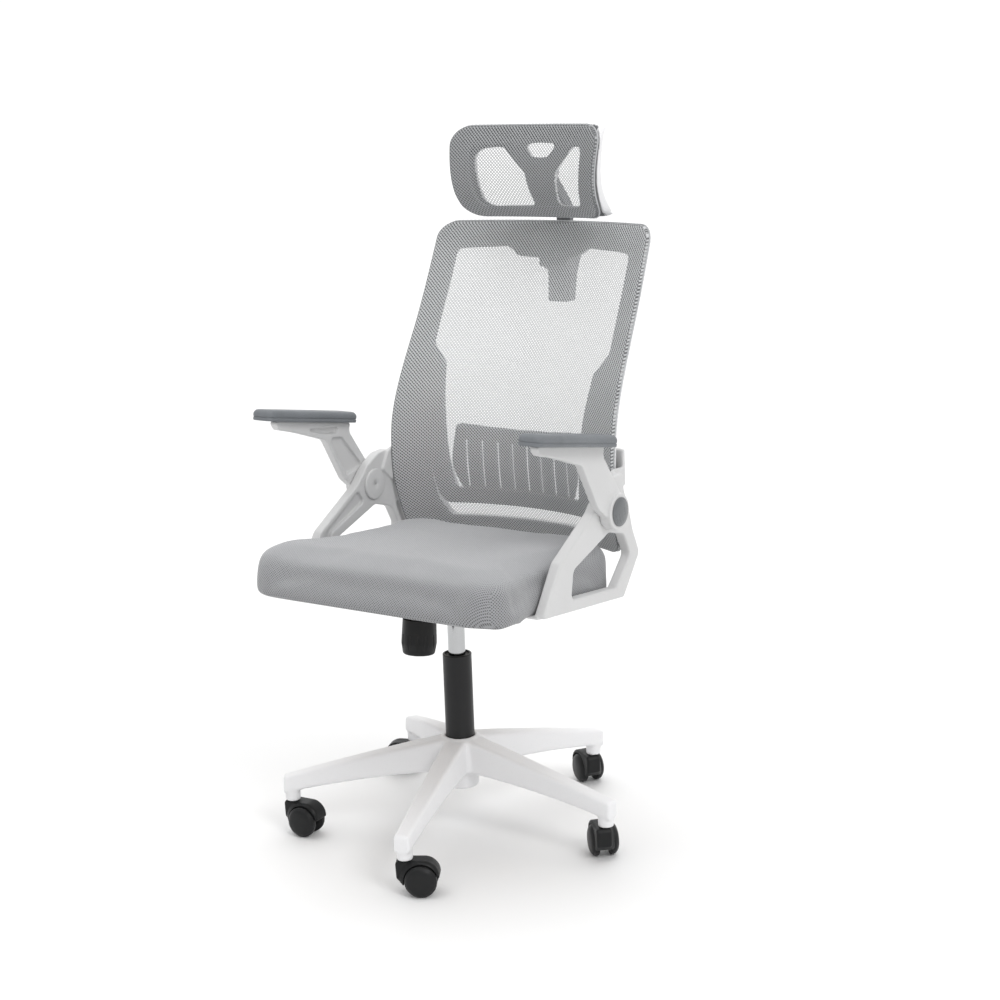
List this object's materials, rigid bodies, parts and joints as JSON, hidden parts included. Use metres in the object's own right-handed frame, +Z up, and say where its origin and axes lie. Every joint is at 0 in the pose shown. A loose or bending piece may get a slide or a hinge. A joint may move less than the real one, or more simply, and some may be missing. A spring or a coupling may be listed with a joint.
{
  "type": "office chair",
  "caption": "Mesh-back swivel office chair with a headrest, flip-up arms, a padded seat, a gas lift and a five-arm base on twin-wheel casters.",
  "frame": {"origin": "on the floor, on the swivel axis of the column", "axes": "+Z up; the sitter faces -Y; +X is the sitter's left"},
  "size_m": [0.5763, 0.6622, 1.124],
  "materials": {
    "white_plastic": "satin",
    "arm_plastic": "satin",
    "pad_plastic": "fine grain",
    "carrier_plastic": "satin",
    "back_mesh": "open woven mesh",
    "seat_fabric": "spacer mesh fabric",
    "plywood": "raw",
    "black_metal": "powder coat",
    "black_plastic": "satin",
    "caster_wheel": "satin",
    "chrome": "polished",
    "steel": "machined"
  },
  "bodies": {
    "base": {"five_star_base": "white_plastic", "column_tube": "black_metal", "guide_bush": "black_plastic"},
    "rotor": {"piston_rod": "steel", "thrust_bearing": "steel"},
    "lift": {"pressure_cylinder": "chrome", "mechanism_housing": "black_metal", "tilt_pivot_pin": "steel", "tension_bolt": "steel", "tension_spring": "steel"},
    "button": {"release_button": "steel"},
    "knob": {"tension_knob": "black_plastic"},
    "lever": {"height_lever": "black_metal", "lever_grip": "black_plastic"},
    "seat": {"seat_plate": "black_metal", "seat_board": "plywood", "seat_cushion": "seat_fabric", "frame_bolts": "steel", "arm_loop_left": "arm_plastic", "arm_loop_right": "arm_plastic", "arm_inner_disc_left": "arm_plastic", "arm_inner_disc_right": "arm_plastic", "arm_pivot_bolt_left": "steel", "arm_pivot_bolt_right": "steel", "back_carrier": "carrier_plastic", "back_frame": "white_plastic", "back_mesh": "back_mesh", "lumbar_support": "carrier_plastic", "headrest_bracket": "carrier_plastic"},
    "arm_left": {"arm_upper_left": "arm_plastic", "hub_cap_left": "pad_plastic", "arm_pad_left": "pad_plastic"},
    "arm_right": {"arm_upper_right": "arm_plastic", "hub_cap_right": "pad_plastic", "arm_pad_right": "pad_plastic"},
    "headrest_post": {"headrest_stem": "carrier_plastic"},
    "headrest": {"headrest_shell": "white_plastic", "headrest_carrier": "carrier_plastic", "headrest_mesh": "back_mesh", "headrest_pin": "steel"},
    "caster_1": {"caster_1_hood": "black_plastic", "caster_1_pins": "steel"},
    "caster_1_left": {"caster_1_wheel_left": "caster_wheel"},
    "caster_1_right": {"caster_1_wheel_right": "caster_wheel"},
    "caster_2": {"caster_2_hood": "black_plastic", "caster_2_pins": "steel"},
    "caster_2_left": {"caster_2_wheel_left": "caster_wheel"},
    "caster_2_right": {"caster_2_wheel_right": "caster_wheel"},
    "caster_3": {"caster_3_hood": "black_plastic", "caster_3_pins": "steel"},
    "caster_3_left": {"caster_3_wheel_left": "caster_wheel"},
    "caster_3_right": {"caster_3_wheel_right": "caster_wheel"},
    "caster_4": {"caster_4_hood": "black_plastic", "caster_4_pins": "steel"},
    "caster_4_left": {"caster_4_wheel_left": "caster_wheel"},
    "caster_4_right": {"caster_4_wheel_right": "caster_wheel"},
    "caster_5": {"caster_5_hood": "black_plastic", "caster_5_pins": "steel"},
    "caster_5_left": {"caster_5_wheel_left": "caster_wheel"},
    "caster_5_right": {"caster_5_wheel_right": "caster_wheel"}
  },
  "joints": [
    {"name": "seat_swivel", "type": "hinge", "parent": "base", "child": "rotor", "pos_m": [0, 0, 0.1], "axis": [0, 0, 1], "continuous": true},
    {"name": "height_lift", "type": "slide", "parent": "rotor", "child": "lift", "axis": [0, 0, 1], "range_m": [-0.055, 0.04]},
    {"name": "lever_lift", "type": "hinge", "parent": "lift", "child": "lever", "pos_m": [-0.028, -0.025, 0.3901], "axis": [0, 1, 0], "range_deg": [0, 5], "stiffness_Nm_per_rad": 3, "springref_deg": -8.59},
    {"name": "button_press", "type": "slide", "parent": "lift", "child": "button", "axis": [0, 0, -1], "range_m": [0, 0.0025]},
    {"name": "knob_turn", "type": "hinge", "parent": "lift", "child": "knob", "pos_m": [0, -0.09976, 0.35415], "axis": [0, 0.1045, 0.9945], "continuous": true},
    {"name": "seat_tilt", "type": "hinge", "parent": "lift", "child": "seat", "pos_m": [0, 0.0267, 0.37103], "axis": [-1, 0, 0], "range_deg": [0, 12], "stiffness_Nm_per_rad": 70, "springref_deg": -25.78},
    {"name": "arm_left_flip", "type": "hinge", "parent": "seat", "child": "arm_left", "pos_m": [0.2465, 0.088, 0.539], "axis": [-1, 0, 0], "range_deg": [0, 95]},
    {"name": "arm_right_flip", "type": "hinge", "parent": "seat", "child": "arm_right", "pos_m": [-0.2465, 0.088, 0.539], "axis": [-1, 0, 0], "range_deg": [0, 95]},
    {"name": "headrest_height", "type": "slide", "parent": "seat", "child": "headrest_post", "axis": [0, 0.1219, 0.9925], "range_m": [0, 0.055]},
    {"name": "headrest_tilt", "type": "hinge", "parent": "headrest_post", "child": "headrest", "pos_m": [0, 0.312, 1.046], "axis": [1, 0, 0], "range_deg": [-15, 11]},
    {"name": "caster_1_swivel", "type": "hinge", "parent": "base", "child": "caster_1", "pos_m": [-0.22952, -0.15774, 0.056], "axis": [0, 0, 1], "continuous": true},
    {"name": "caster_1_roll_left", "type": "hinge", "parent": "caster_1", "child": "caster_1_left", "pos_m": [-0.20705, -0.13922, 0.025], "axis": [-0.0872, 0.9962, 0], "continuous": true},
    {"name": "caster_1_roll_right", "type": "hinge", "parent": "caster_1", "child": "caster_1_right", "pos_m": [-0.20417, -0.17209, 0.025], "axis": [-0.0872, 0.9962, 0], "continuous": true},
    {"name": "caster_2_swivel", "type": "hinge", "parent": "base", "child": "caster_2", "pos_m": [0.0791, -0.26703, 0.056], "axis": [0, 0, 1], "continuous": true},
    {"name": "caster_2_roll_left", "type": "hinge", "parent": "caster_2", "child": "caster_2_left", "pos_m": [0.09163, -0.24074, 0.025], "axis": [-0.5, 0.866, 0], "continuous": true},
    {"name": "caster_2_roll_right", "type": "hinge", "parent": "caster_2", "child": "caster_2_right", "pos_m": [0.10813, -0.26932, 0.025], "axis": [-0.5, 0.866, 0], "continuous": true},
    {"name": "caster_3_swivel", "type": "hinge", "parent": "base", "child": "caster_3", "pos_m": [0.27841, -0.00729, 0.056], "axis": [0, 0, 1], "continuous": true},
    {"name": "caster_3_roll_left", "type": "hinge", "parent": "caster_3", "child": "caster_3_left", "pos_m": [0.24986, -0.00149, 0.025], "axis": [-0.7193, -0.6947, 0], "continuous": true},
    {"name": "caster_3_roll_right", "type": "hinge", "parent": "caster_3", "child": "caster_3_right", "pos_m": [0.2736, 0.02144, 0.025], "axis": [-0.7193, -0.6947, 0], "continuous": true},
    {"name": "caster_4_swivel", "type": "hinge", "parent": "base", "child": "caster_4", "pos_m": [0.09297, 0.26253, 0.056], "axis": [0, 0, 1], "continuous": true},
    {"name": "caster_4_roll_left", "type": "hinge", "parent": "caster_4", "child": "caster_4_left", "pos_m": [0.06384, 0.26227, 0.025], "axis": [-0.5592, -0.829, 0], "continuous": true},
    {"name": "caster_4_roll_right", "type": "hinge", "parent": "caster_4", "child": "caster_4_right", "pos_m": [0.08229, 0.28963, 0.025], "axis": [-0.5592, -0.829, 0], "continuous": true},
    {"name": "caster_5_swivel", "type": "hinge", "parent": "base", "child": "caster_5", "pos_m": [-0.22095, 0.16954, 0.056], "axis": [0, 0, 1], "continuous": true},
    {"name": "caster_5_roll_left", "type": "hinge", "parent": "caster_5", "child": "caster_5_left", "pos_m": [-0.23786, 0.14583, 0.025], "axis": [0.342, -0.9397, 0], "continuous": true},
    {"name": "caster_5_roll_right", "type": "hinge", "parent": "caster_5", "child": "caster_5_right", "pos_m": [-0.24915, 0.17684, 0.025], "axis": [0.342, -0.9397, 0], "continuous": true}
  ],
  "couplings": [
    {"joint": "button_press", "follows": "lever_lift", "m_per_rad": 0.028}
  ]
}
